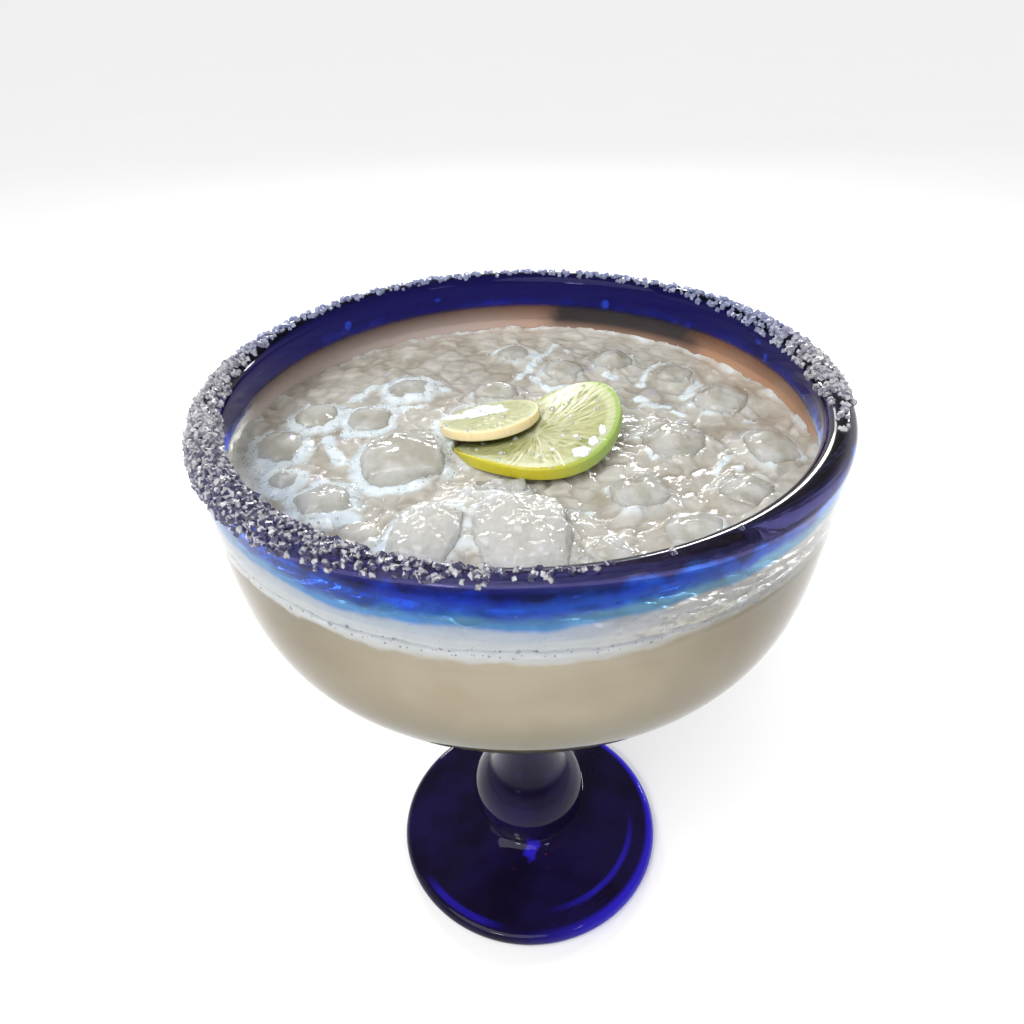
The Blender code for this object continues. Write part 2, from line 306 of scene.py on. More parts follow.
CLEAR = (0.93, 0.95, 0.94)
AZURE = (0.06, 0.38, 1.0)
ROYAL = (0.008, 0.055, 0.95)
NAVY = (0.006, 0.005, 0.050)
COBALT = (0.020, 0.013, 0.085)
DEEP_COBALT = (0.013, 0.008, 0.035)
# painted caustic light: the bright blue of the arcs in the foot
PAINTED_CAUSTIC_BLUE = (0.05, 0.03, 0.90)
# painted glints: the red of specks by the ball
PAINTED_RED_GLINT = (0.36, 0.04, 0.05)
SHADED_FAR_ROYAL = (0.006, 0.02, 0.45)         # the blues of the far wall, painted darker as painted shade, where less light comes through
SHADED_FAR_EDGE = (0.008, 0.012, 0.16)
SPECK = (0.10, 0.50, 1.0)
SPOT = (0.02, 0.12, 0.95)
NAVY_DEPTH = (-0.6, 1.8)                # how deep under the crest each blue gives way, in mm
ROYAL_DEPTH = (3.3, 5.3)
AZURE_DEPTH = (6.1, 7.3)
WANDER = 5.0                            # how far the blue's edge wanders up and down, in mm
LEFT_DIP, LEFT_TURN = 2.6, 2.3          # the glass was dipped deeper at the left front
FAR_DIP_AND_SHADE = 3.2                           # and at the back, where the deeper dark blue is partly painted shade
STEM_TOP = 100.0 * MM

blown = Finish("blown glass", Roughness=0.02, Transmission_Weight=1.0, IOR=1.5,
               Specular_Tint=(0.12, 0.12, 0.18, 1.0))
x, y, z = blown.axes(blown.place())
around = blown.node("Math", {"operation": "ARCTAN2"}, i0=y, i1=x)
wander = blown.noise(16.0, 3.0, blown.vector(x, y, z * 0.15))
deeper = blown.node("Math", {"operation": "COSINE"}, i0=around + LEFT_TURN)
depth = (GLASS_HEIGHT - z) / MM + (wander - 0.5) * WANDER - deeper.math("MAXIMUM", 0.0) * LEFT_DIP
patches = blown.noise(5.5, 2.0, blown.vector(x, y, z * 0.35)) - 0.5
# The far wall is painted darker, as painted shade: its navy reaches deeper, its azure gives way to
# a dark edge and its royal to a darker royal.
far = y / MM + (x / MM).ramp(40.0, 60.0) * 15.0 + (x / MM).ramp(-48.0, -60.0) * 12.0
far = far.ramp(-15.0, 20.0)
depth = depth - far * FAR_DIP_AND_SHADE
# Painted shade: the navy reaches deeper at the right front of the lip, so that it shows darker
# there.
shaded_right = (x / MM).ramp(14.0, 48.0) * (1.0 - far)
tint = blown.blend(depth.ramp(*AZURE_DEPTH), blown.blend(far, AZURE, SHADED_FAR_EDGE), CLEAR)
royal = blown.blend(far, ROYAL, SHADED_FAR_ROYAL)
tint = blown.blend((depth + patches * 3.5).ramp(*ROYAL_DEPTH), royal, tint)
navy = depth + patches * 5.5 - far * 4.6 - shaded_right * 2.2
tint = blown.blend(navy.ramp(*NAVY_DEPTH), NAVY, tint)
specks = blown.cells(3.4).ramp(0.10, 0.04)
tint = blown.blend(specks * depth.ramp(3.0, 4.0) * depth.ramp(8.0, 6.5), tint, SPECK)
spots = blown.cells(8.5).ramp(0.16, 0.08) * far * depth.ramp(1.5, 3.0) * depth.ramp(7.0, 5.5)
tint = blown.blend(spots, tint, SPOT)
tint = blown.blend((z / MM).ramp(103.0, 100.0), tint, ROYAL)
blown.set(Base_Color=tint)
blown.bump(blown.noise(14.0, 0.0), 0.10)

cobalt = Finish("cobalt glass", Roughness=0.03, Transmission_Weight=0.55, IOR=1.5,
                Specular_Tint=(0.25, 0.25, 0.30, 1.0))
x, y, z = cobalt.axes(cobalt.place())
reach = (x * x + y * y) ** 0.5 / MM
flow = cobalt.noise(13.0, 2.0)
tone = cobalt.blend(flow.ramp(0.35, 0.7), DEEP_COBALT, COBALT)
# Painted light: bright blue arcs by the foot's rim, a ring, an arc at the left and a spot just
# before the ball stand in for caustics, light that the glass focuses.
rim_caustic = reach.ramp(35.6, 37.4) * (x / MM).ramp(-8.0, 30.0)
ring_caustic = reach.ramp(30.2, 31.0) * reach.ramp(32.6, 31.6)
ring_caustic = ring_caustic * (x / MM).ramp(2.0, 20.0) * (y / MM).ramp(2.0, -14.0)
left_caustic = reach.ramp(34.6, 35.4) * reach.ramp(37.2, 36.4)
left_caustic = left_caustic * (x / MM).ramp(-6.0, -16.0) * (y / MM).ramp(-18.0, -26.0)
off_x = (x / MM - 0.6 + (cobalt.noise(2.5, 2.0) - 0.5) * 5.0) / 2.3
off_y = (y / MM + 14.0) / 4.4
ball_caustic = (off_x * off_x + off_y * off_y).ramp(1.0, 0.2)
# Painted glints: red specks by the ball, where light refracts through it.
red_glints = cobalt.cells(2.4).ramp(0.20, 0.08) * ((x / MM - 2.0) / 8.0).math("ABSOLUTE").ramp(1.0, 0.6)
red_glints = red_glints * ((y / MM + 17.0) / 5.0).math("ABSOLUTE").ramp(1.0, 0.6)
red_glints = red_glints * (z / MM).ramp(16.0, 12.0)
tone = cobalt.blend(red_glints, tone, PAINTED_RED_GLINT)
# glow gathers the painted caustics on the foot.
glow = (rim_caustic + ring_caustic * 0.6 + left_caustic * 0.5 + ball_caustic) * (z / MM).ramp(12.0, 10.0)
cobalt.set(Base_Color=cobalt.blend(glow.math("MINIMUM", 1.0), tone, PAINTED_CAUSTIC_BLUE))
cobalt.bump(cobalt.noise(11.0, 1.0), 0.10)

profile = np.vstack([
    bowl_inside()[::-1],
    np.linspace([LIP_RADIUS - LIP_HALF_WIDTH, GLASS_HEIGHT - LIP_BAND],
                [LIP_RADIUS - LIP_HALF_WIDTH, GLASS_HEIGHT - LIP_CROWN], 8)[:-1],
    lip(28),
    bowl_side(np.linspace(0.0, 1.0, 64))[1:],
    stem_and_foot(),
])
piece = turned("blown_glass", profile, blown.material, GLASS_TURNS)
piece.data.materials.append(cobalt.material)
for face in piece.data.polygons:
    face.material_index = int(face.center.z < STEM_TOP)
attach(piece, "root")
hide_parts("glass")

# The ice is half-melted cubes that float in the drink: cloudy, wet and rounded, with a shallow
# melted relief. Each lump is a cube's cage rounded towards a ball, at its place in the glass.
LEVEL = GLASS_HEIGHT - 15.4 * MM
LEAST_ROUND = 0.35
ICE_CRAGS = 0.11
CRAG_COUNT = 1.9
NEXT_LUMP = 7.0
ICE_CUTS = 19
CRAGGY = (1, 2, 3)              # the big lumps at the front, melted to a crisp relief
CRAGGY_CUTS = 56
FACET = 5.2 * MM                # width of the flats that the melting left
FACET_SHARE, FACET_TOP, FACET_MEAN = 2.2, 0.45, 0.25
MELT = 2.6 * MM                 # size of the relief between them
RELIEF, CRISP_RELIEF = 0.25 * MM, 0.45 * MM
CLOUDY_ICE, WHITE_ICE = (0.58, 0.55, 0.47), (0.78, 0.77, 0.72)
Ice = namedtuple("Ice", "x y width depth height top turn round")
ICE = [
    Ice(-0.4, -35.6, 19.0, 23.0, 17.0, 5.6, 4, 0.45),
    Ice(-17.6, -36.0, 14.0, 19.0, 15.0, 5.2, -12, 0.50),
    Ice(-4.6, -20.8, 12.4, 5.0, 9.0, 3.6, 6, 0.55),
    Ice(-24.8, -8.6, 18.0, 19.5, 17.0, 5.4, 8, 0.45),
    Ice(-38.8, -22.6, 13.4, 14.0, 12.0, 2.6, 28, 0.85),
    Ice(-48.8, -14.6, 7.4, 7.4, 8.0, 2.0, 0, 0.80),
    Ice(-52.0, -1.6, 11.0, 13.6, 10.0, 2.8, 4, 0.70),
    Ice(-46.8, 12.0, 11.4, 12.0, 11.0, 2.6, -18, 0.75),
    Ice(-34.2, 9.8, 12.0, 12.4, 11.0, 2.6, 12, 0.70),
    Ice(-27.0, 25.4, 13.0, 11.0, 10.0, 2.0, 25, 0.75),
    Ice(-5.8, 21.8, 12.4, 8.4, 10.0, 2.8, -6, 0.70),
    Ice(-1.6, 43.6, 10.4, 10.0, 9.0, 2.2, 20, 0.80),
    Ice(10.6, 33.0, 11.0, 10.6, 10.0, 2.6, -20, 0.70),
    Ice(23.2, 38.0, 12.0, 11.4, 10.0, 2.6, 15, 0.70),
    Ice(37.4, 29.8, 11.4, 10.8, 10.0, 2.4, 35, 0.75),
    Ice(46.2, 15.4, 13.4, 15.4, 12.0, 3.4, -24, 0.60),
    Ice(52.0, -6.0, 11.2, 12.4, 12.0, 3.6, 12, 0.50),
    Ice(32.4, -2.4, 17.0, 16.0, 13.0, 2.6, 18, 0.70),
    Ice(43.6, -21.6, 12.4, 12.4, 11.0, 2.2, -30, 0.65),
    Ice(22.6, -22.0, 12.4, 11.0, 11.0, 3.0, 22, 0.50),
    Ice(31.0, -34.6, 13.0, 12.0, 12.0, 2.8, -15, 0.55),
    Ice(14.8, -41.8, 7.4, 8.6, 10.0, 3.4, 40, 0.30),
]

frost = Finish("cloudy ice", IOR=1.31, Transmission_Weight=0.35, Roughness=0.06,
               Specular_IOR_Level=1.0, Subsurface_Weight=0.7, Subsurface_Radius=(1.0, 0.99, 0.95),
               Subsurface_Scale=0.008)
x, y, z = frost.axes(frost.place())
cloud = frost.noise(5.0, 3.0) + (y / MM).ramp(-16.0, -28.0) * (x / MM).ramp(14.0, 4.0) * 0.16
frost.set(Base_Color=frost.blend(cloud.ramp(0.35, 0.65), CLOUDY_ICE, WHITE_ICE))
melt = frost.noise(3.0, 2.0) * 0.6 + frost.cells(2.2) * 0.4
frost.bump(melt, 0.5)

lumps = []
for number, lump in enumerate(ICE, 1):
    shape = bmesh.new()
    bmesh.ops.create_cube(shape, size=2.0)
    cuts, relief = (CRAGGY_CUTS, CRISP_RELIEF) if number in CRAGGY else (ICE_CUTS, RELIEF)
    bmesh.ops.subdivide_edges(shape, edges=shape.edges, cuts=cuts, use_grid_fill=True)
    half = Vector((lump.width, lump.depth, lump.height)) * (MM / 2)
    turn = Matrix.Rotation(math.radians(lump.turn), 3, "Z")
    middle = Vector((lump.x * MM, lump.y * MM, LEVEL + lump.top * MM - half.z))
    for vertex in shape.verts:
        outward = vertex.co.normalized()
        rounded = vertex.co.lerp(outward, LEAST_ROUND + (1.0 - LEAST_ROUND) * lump.round)
        crag = noise.noise(outward * CRAG_COUNT + Vector((number * NEXT_LUMP, 0.0, 0.0)))
        rounded += outward * (ICE_CRAGS * crag)
        place = middle + turn @ (rounded * half)
        apart = noise.voronoi(place / FACET)[0]
        melted = noise.fractal(place / MELT, 1.0, 2.0, 3)
        melted += FACET_SHARE * (min(FACET_TOP, apart[1] - apart[0]) - FACET_MEAN)
        vertex.co = place + (turn @ outward) * (relief * melted)
    bmesh.ops.recalc_face_normals(shape, faces=shape.faces)
    mesh = bpy.data.meshes.new(f"lump_{number:02d}")
    shape.to_mesh(mesh)
    shape.free()
    mesh.shade_smooth()
    piece = linked(mesh.name, mesh, frost.material)
    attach(piece, "root")
    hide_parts(f"ice_{number:02d}")
    lumps.append(piece)

# Two round slices of lime lie on the ice: a wheel whose right end is propped up towards the viewer,
# and a smaller slice behind it. Each has a green rind, a pale pith and wedges of flesh between thin
# membranes, and is bowed as it lies.
Wheel = namedtuple("Wheel", "x y z radius thickness tilt twist rise bow")
LIMES = {
    "lime_wheel": Wheel(3.3, -1.1, 1.3, 17.8, 2.6, -0.11, 0.31, 0.29, 1.7),
    "lime_slice": Wheel(-7.0, 5.6, 2.0, 11.0, 2.2, -0.22, 0.04, 0.16, 0.5),
}
LIME_TURNS = 144
WEDGES = 10
RIND = 0.945                    # share of the radius where the rind and the pith begin
PITH = 0.865
PULP, PULP_SIZE = 0.16 * MM, 1.1 * MM
SEAM, SEAM_WIDTH = 0.14 * MM, 0.03      # how far a membrane lies under the flesh
JUICY, DRY_FLESH = (0.25, 0.27, 0.075), (0.45, 0.455, 0.21)
MEMBRANE, CORE, PALE_PITH = (0.55, 0.56, 0.34), (0.60, 0.61, 0.38), (0.55, 0.585, 0.32)
GREEN_PEEL, YELLOW_PEEL, PALE_PEEL = (0.36, 0.50, 0.12), (0.52, 0.46, 0.02), (0.86, 0.72, 0.44)
PALE_FLESH = (0.66, 0.68, 0.38)         # the smaller slice's, paler, partly with painted glare of light on its wet face

rind = Finish("lime", Roughness=0.38, Subsurface_Weight=0.5, Subsurface_Radius=(1.0, 1.0, 0.4),
              Subsurface_Scale=0.0015, Coat_Weight=0.12, Coat_Roughness=0.08)
disc = rind.node("UVMap", {"uv_map": "slice"})
u, v, _ = rind.axes(disc)
out = (u * u + v * v) ** 0.5
about = rind.node("Math", {"operation": "ARCTAN2"}, i0=v, i1=u)
wavering = (rind.noise(0.35, 2.0, rind.vector(u * MM, v * MM, 0.0)) - 0.5) * 0.22
wedge = about * (WEDGES / math.tau) + wavering
across = (wedge.math("FRACT") - 0.5).math("ABSOLUTE")
membrane = ((0.5 - across) * out).ramp(0.045, 0.012)
juice = rind.node("TexVoronoi", {"feature": "F1"}, "Distance",
                  Vector=rind.vector(about * 5.0, out * 2.2, 0.0), Scale=2.3, Randomness=1.0)
flesh = rind.blend(juice.ramp(0.1, 0.6), JUICY, DRY_FLESH)
flesh = rind.blend(membrane * 0.6, flesh, MEMBRANE)
flesh = rind.blend(out.ramp(0.14, 0.05), flesh, CORE)
flesh = rind.blend(out.ramp(PITH - 0.05, PITH + 0.01), flesh, PALE_PITH)
peel = rind.blend(about.math("ABSOLUTE").ramp(0.7, 1.6), GREEN_PEEL, YELLOW_PEEL)
pale = rind.node("Attribute", {"attribute_name": "pale"}, "Fac")
# Painted glare, in part: the smaller slice's paler peel and flesh.
peel = rind.blend(pale, peel, PALE_PEEL)
flesh = rind.blend(pale * 0.2, flesh, PALE_FLESH)
flesh = rind.blend(out.ramp(RIND - 0.015, RIND + 0.02), flesh, peel)
rind.set(Base_Color=flesh)
rind.bump(juice * -1.0 + membrane * 0.5, 0.16)


def on_lime(wheel, along, back, high):
    """Where a point of a flat slice comes to lie, once the slice is bowed, turned and tilted."""
    share = along / (wheel.radius * MM)
    tilt = wheel.tilt + wheel.twist * share
    lift = wheel.rise * along + wheel.bow * MM * share**2
    return Vector((wheel.x * MM + along - high * wheel.rise,
                   wheel.y * MM + back * math.cos(tilt) - high * math.sin(tilt),
                   LEVEL + wheel.z * MM + back * math.sin(tilt) + high * math.cos(tilt) + lift))


limes = []
for name, wheel in LIMES.items():
    radius, half = wheel.radius * MM, wheel.thickness * MM / 2
    edge = 0.35 * half
    shares = np.linspace(0.0, 1.0, 30)
    top = [((radius - edge) * share, half) for share in shares]
    turn = np.radians(np.linspace(90.0, 0.0, 5))[1:]
    top += [(radius - edge + edge * math.cos(a), half - edge + edge * math.sin(a)) for a in turn]
    outline = top + [(reach, -height) for reach, height in reversed(top)]
    piece = turned(name + "_fruit", np.array(outline), rind.material, LIME_TURNS)
    layer = piece.data.uv_layers.new(name="slice")
    flat = [vertex.co.copy() for vertex in piece.data.vertices]
    for corner in piece.data.loops:
        at = flat[corner.vertex_index]
        layer.data[corner.index].uv = (at.x / radius, at.y / radius)
    for vertex in piece.data.vertices:
        along, back, high = vertex.co
        reach = math.hypot(along, back) / radius
        angle = math.atan2(back, along) * WEDGES / math.tau
        gap = 0.5 - abs(angle % 1.0 - 0.5)
        if high > 0 and 0.05 < reach < PITH:
            pulp = noise.noise(Vector((along, back, 0.0)) / PULP_SIZE)
            high += PULP * pulp - SEAM * math.exp(-((gap * reach / SEAM_WIDTH) ** 2))
        vertex.co = on_lime(wheel, along, back, high)
    mark = piece.data.attributes.new("pale", "FLOAT", "POINT")
    mark.data.foreach_set("value", [float(name == "lime_slice")] * len(piece.data.vertices))
    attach(piece, "root")
    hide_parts(name)
    limes.append(piece)

# The drink is a cloudy margarita up to 15 mm under the lip, thick with small chips of ice. It fills
# the bowl to the wall, lies in hollows under the lime, and carries a thin pale foam along the lumps
# and along the shore. Raised white streaks on it stand in for glints of light on the wet surface:
# their white is a painted highlight. Its body is painted darker towards the bottom and at the left
# and right sides, as painted shade.
DRINK_TURNS = 360
INTO_WALL = -0.3 * MM
SWELL = 0.6 * MM
SWELL_SPACING = 9.0 * MM
BED_GAP = 0.25 * MM
FOAM_REACH = 3.0 * MM
CHIP = 5.5 * MM                 # size of the ice chips that bulge the surface
CHIP_RISE = 1.1 * MM
CHIP_SLOPE, CHIP_MEAN = 0.22, 0.35      # how wide a chip's edge is, and its mean height
CHIP_DRAW = 7.3
# Painted highlights: raised white streaks that stand in for glints of light on the wet surface.
GlintStreak = namedtuple("GlintStreak", "x1 y1 x2 y2 wide")
GLINT_STREAKS = [GlintStreak(*row) for row in [
    (9.4, 49.5, -0.1, 30.8, 1.3), (2.9, 30.7, 6.8, 22.9, 1.3), (6.8, 22.9, 12.0, 25.3, 1.4),
    (20.8, 24.3, 22.0, 23.4, 1.3), (27.8, 17.3, 29.0, 16.4, 1.4), (34.3, 11.1, 35.4, 10.2, 1.3),
    (-27.1, 26.2, -18.1, 25.7, 1.6), (7.4, -27.1, 12.5, -27.3, 0.9),
    (38.6, -14.4, 42.9, -8.8, 1.1), (43.7, -13.4, 44.6, -12.6, 1.2),
    (-29.6, 14.1, -23.6, 17.3, 1.5), (-56.6, -9.5, -50.7, -9.5, 2.2),
    (-44.5, -28.0, -31.7, -28.0, 2.0), (-43.0, 3.0, -38.0, -8.0, 1.8),
    (-40.0, 20.0, -36.0, 27.0, 1.6), (29.2, 25.4, 32.5, 33.6, 1.6), (32.5, 33.6, 37.2, 35.9, 1.3),
    (42.7, 24.7, 38.4, 18.1, 1.8), (27.9, 14.9, 34.1, 13.5, 1.5), (21.4, 30.5, 23.5, 29.5, 1.5),
    (36.0, 9.8, 36.5, 8.5, 1.2), (50.0, 5.8, 51.6, 5.2, 1.2), (27.3, -6.8, 27.6, -8.6, 1.0),
    (12.6, 46.5, 12.2, 42.5, 1.2),
]]
MOUND = (-8.0 * MM, -31.0 * MM)         # slush heaped between the big lumps at the front
MOUND_SPREAD = 13.0 * MM
MOUND_RISE = 2.6 * MM
CHIP_BEND, CHIP_BEND_SIZE = 0.35, 3.5 * MM
CHIP_SEED = 1                   # of the offsets that noise_vector draws
GRAIN, GRAIN_SIZE = 0.12 * MM, 1.7 * MM
CLIMB, CLIMB_REACH = 0.5 * MM, 1.1 * MM         # how the drink climbs the wall
CLING, CLING_REACH = 0.9 * MM, 1.3 * MM         # and whatever floats in it
STREAK_RISE, STREAK_WANDER, STREAK_WAVE = 0.35 * MM, 1.1 * MM, 2.6 * MM
SURFACE_DEPTH = 0.1 * MM
RAY_START = LEVEL - 30 * MM                     # well under the lime
SHORE_FOAM, STREAK_GLINT, BED_FOAM = 0.6, 1.05, 0.3      # how much foam each place gets; the streaks' white is a painted highlight
SHORE_REACH = 3.0 * MM
RIGHT_FOAM, LEFT_FOAM, FOAM_SIDE = 0.45, 0.55, 30 * MM  # the left half has more of it
BEHIND_GLASS = 136.0 * MM               # the drink under this height is seen through the wall
PALE_JUICE, RICH_JUICE = (0.70, 0.61, 0.45), (0.62, 0.52, 0.37)
# painted shade: darker and more olive at the left and right sides of the bowl
SHADED_SIDE_JUICE = (0.27, 0.20, 0.085)
# painted shade: darker towards the bottom of the bowl
SHADED_LOW_JUICE, SHADED_DEEP_JUICE = (0.22, 0.21, 0.105), (0.08, 0.075, 0.008)
WET_SLUSH, PALE_SLUSH, CHIP_SLUSH = (0.38, 0.34, 0.275), (0.56, 0.54, 0.485), (0.66, 0.65, 0.605)
FOAM_AND_GLINT_WHITE, SHORE_WHITE = (0.76, 0.84, 0.87), (0.93, 0.95, 0.95)


def tree_of(pieces):
    """A tree of the faces of some pieces, for distances and rays."""
    points, faces = [], []
    for piece in pieces:
        first = len(points)
        points += [vertex.co.copy() for vertex in piece.data.vertices]
        faces += [[first + i for i in face.vertices] for face in piece.data.polygons]
    return BVHTree.FromPolygons(points, faces)


floating, laid = tree_of(lumps + limes), tree_of(limes)
wall = bowl_inside(INTO_WALL, 96)
shore = float(np.interp(-LEVEL, -wall[:, 1], wall[:, 0]))
under = wall[wall[:, 1] < LEVEL - 0.3 * MM]
rings = shore * np.sqrt(np.linspace(0.0, 1.0, 96))
rings[1:] = np.linspace(rings[1], shore, 95)
level = [(reach, LEVEL) for reach in rings]
poured = turned("poured_drink", np.vstack([level, under]), None, DRINK_TURNS)
foam_and_glint_near, chips = [], []
noise.seed_set(CHIP_SEED)
for vertex in poured.data.vertices:
    reach = vertex.co.xy.length
    if vertex.co.z < LEVEL - SURFACE_DEPTH:
        foam_and_glint_near.append(0.0)
        chips.append(0.0)
        continue
    at = vertex.co.copy()
    bent = Vector((at.x, at.y, 0.0)) / CHIP + CHIP_BEND * noise.noise_vector(at / CHIP_BEND_SIZE)
    apart, cells = noise.voronoi(Vector((bent.x, bent.y, 0.5)))
    chip = min(1.0, (apart[1] - apart[0]) / CHIP_SLOPE)
    chip = chip * (0.5 + 0.5 * noise.noise(cells[0] * CHIP_DRAW))
    chips.append(chip)
    swell = SWELL * noise.noise(at / SWELL_SPACING) + GRAIN * noise.noise(at / GRAIN_SIZE)
    swell += CHIP_RISE * (chip - CHIP_MEAN)
    hit = floating.find_nearest(Vector((at.x, at.y, LEVEL)))
    apart = hit[3]
    bottom = laid.ray_cast(Vector((at.x, at.y, RAY_START)), Vector((0.0, 0.0, 1.0)))
    inside = bottom[0] is not None and bottom[0].z < LEVEL + swell
    climb = CLIMB * math.exp(-((shore - reach) / CLIMB_REACH) ** 2)
    lather = 0.0
    # The streaks' lather is a painted highlight.
    for streak in GLINT_STREAKS:
        one, two = Vector((streak.x1, streak.y1)) * MM, Vector((streak.x2, streak.y2)) * MM
        run = two - one
        share = min(1.0, max(0.0, (at.xy - one).dot(run) / run.length_squared))
        away = (at.xy - one - run * share).length + STREAK_WANDER * noise.noise(at / STREAK_WAVE)
        lather = max(lather, math.exp(-((away / (streak.wide * MM)) ** 2)))
    from_mound = (at.xy - Vector(MOUND)).length / MOUND_SPREAD
    climb += STREAK_RISE * lather + MOUND_RISE * math.exp(-(from_mound**2))
    if inside:
        vertex.co.z = bottom[0].z - BED_GAP
    else:
        vertex.co.z = LEVEL + swell + climb + CLING * math.exp(-(apart / CLING_REACH) ** 2)
    edge = math.exp(-((shore - reach) / SHORE_REACH) ** 2)
    left = RIGHT_FOAM + LEFT_FOAM * min(1.0, max(0.0, -at.x / FOAM_SIDE))
    border = left * math.exp(-((apart / FOAM_REACH) ** 2)) if not inside else BED_FOAM
    foam_and_glint_near.append(max(border, SHORE_FOAM * edge, STREAK_GLINT * lather))
for label, values in (("foam", foam_and_glint_near), ("chip", chips)):
    mark = poured.data.attributes.new(label, "FLOAT", "POINT")
    mark.data.foreach_set("value", values)

cloudy = Finish("margarita", Roughness=0.07, IOR=1.34, Specular_IOR_Level=0.9,
                Subsurface_Weight=0.5, Subsurface_Radius=(1.0, 0.95, 0.8), Subsurface_Scale=0.004)
x, y, z = cloudy.axes(cloudy.place())
low = cloudy.noise(17.0, 2.0)
juice_tone = cloudy.blend(low.ramp(0.35, 0.65), RICH_JUICE, PALE_JUICE)
# Painted shade: the drink darkens towards the bottom.
juice_tone = cloudy.blend((z / MM).ramp(126.0, 104.0), juice_tone, SHADED_LOW_JUICE)
# Painted shade: darker at the left and right sides.
juice_tone = cloudy.blend((x / MM).math("ABSOLUTE").ramp(12.0, 48.0) * 0.9, juice_tone, SHADED_SIDE_JUICE)
foam = cloudy.node("Attribute", {"attribute_name": "foam"}, "Fac")
chip = cloudy.node("Attribute", {"attribute_name": "chip"}, "Fac")
froth = (foam + (cloudy.noise(5.0, 4.0) - 0.5) * 1.5).ramp(0.38, 0.92)
surface = cloudy.blend(cloudy.noise(9.0, 3.0).ramp(0.3, 0.7), WET_SLUSH, PALE_SLUSH)
surface = cloudy.blend(chip.ramp(0.1, 0.8) * 0.5, surface, CHIP_SLUSH)
# The froth's white carries the foam and the streaks' painted highlights.
surface = cloudy.blend(froth, surface, FOAM_AND_GLINT_WHITE)
reach = (x * x + y * y) ** 0.5 / MM
shore_froth = ((x * -0.55 - y * 0.84) / MM).ramp(26.0, 48.0) * reach.ramp(53.5, 56.5)
ragged = z / MM + (cloudy.noise(5.0, 3.0) - 0.5) * 2.4
tone = cloudy.blend(ragged.ramp(139.0, 140.4), juice_tone, surface)
tone = cloudy.blend(ragged.ramp(138.2, 139.6) * shore_froth, tone, SHORE_WHITE)
cloudy.set(Base_Color=tone)
ripples = cloudy.noise(1.6, 3.0) * 0.35 + cloudy.cells(2.6) * 0.2 + cloudy.noise(4.5, 2.0)
cloudy.bump(ripples * (z / MM).ramp(138.4, 140.2, 0.1, 1.0), 0.5)
poured.data.materials.append(cloudy.material)

inner = Finish("margarita behind glass", Roughness=0.3, IOR=1.34, Specular_IOR_Level=0.05)
x, y, z = inner.axes(inner.place())
body = inner.blend(inner.noise(17.0, 2.0).ramp(0.35, 0.65), RICH_JUICE, PALE_JUICE)
# Painted shade: the drink darkens towards the bottom.
body = inner.blend((z / MM).ramp(128.0, 106.0), body, SHADED_DEEP_JUICE)
# Painted shade: darker at the left and right sides.
body = inner.blend((x / MM).math("ABSOLUTE").ramp(12.0, 48.0) * 0.9, body, SHADED_SIDE_JUICE)
inner.set(Base_Color=body)
poured.data.materials.append(inner.material)
for face in poured.data.polygons:
    face.material_index = int(face.center.z < BEHIND_GLASS)
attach(poured, "root")
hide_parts("drink")

# The film is what the drink left on the inside of the wall when it was swirled: nearly opaque at
# the back, thin at the right front, and a whitish lather full of tiny bubbles at the left front.
# Its tan and brown at the back are painted light, warm surroundings seen in and through the wall,
# with painted shade under the blue band and in a dark patch right of the middle. It is a thin shell
# that reaches just into the wall, and thins out to nothing at its top.
FILM_FOOT = LEVEL - 0.8 * MM
FILM_TOP = GLASS_HEIGHT - 4.6 * MM
FILM_FACES = (-0.1 * MM, 0.2 * MM)
FILM_TURNS = 256
REFLECTED_TAN_LEFT, REFLECTED_TAN_RIGHT = (0.60, 0.49, 0.455), (0.52, 0.30, 0.19)
SHADED_BROWN_LEFT, SHADED_BROWN_RIGHT = (0.16, 0.10, 0.085), (0.24, 0.10, 0.05)       # its upper edge, darker under the blue band: painted shade
PAINTED_DARK_SHADE = (0.030, 0.028, 0.036)
THIN_FILM = (0.92, 0.85, 0.72)
LATHER, BRIGHT_LATHER = (0.93, 0.95, 0.96), (0.97, 0.99, 1.0)
TINY_BUBBLE, BUBBLE_SHADE = (0.95, 0.97, 1.0), (0.12, 0.12, 0.14)

film = Finish("film of drink", Roughness=0.3, IOR=1.34, Specular_IOR_Level=0.3)
x, y, z = film.axes(film.place())
high = ((z - LEVEL) / MM).ramp(0.5, 8.0)
back = (y / MM + (x / MM).ramp(40.0, 60.0) * 14.0).ramp(-6.0, 18.0)
right = (x / MM).ramp(-30.0, 30.0)
lather = ((x * -0.55 - y * 0.84) / MM).ramp(30.0, 52.0)
# Painted light at the back: the tan of warm surroundings seen in and through the wall, turning
# brown under the band as painted shade.
tan = film.blend(right, REFLECTED_TAN_LEFT, REFLECTED_TAN_RIGHT)
tan = film.blend(high, tan, film.blend(right, SHADED_BROWN_LEFT, SHADED_BROWN_RIGHT))
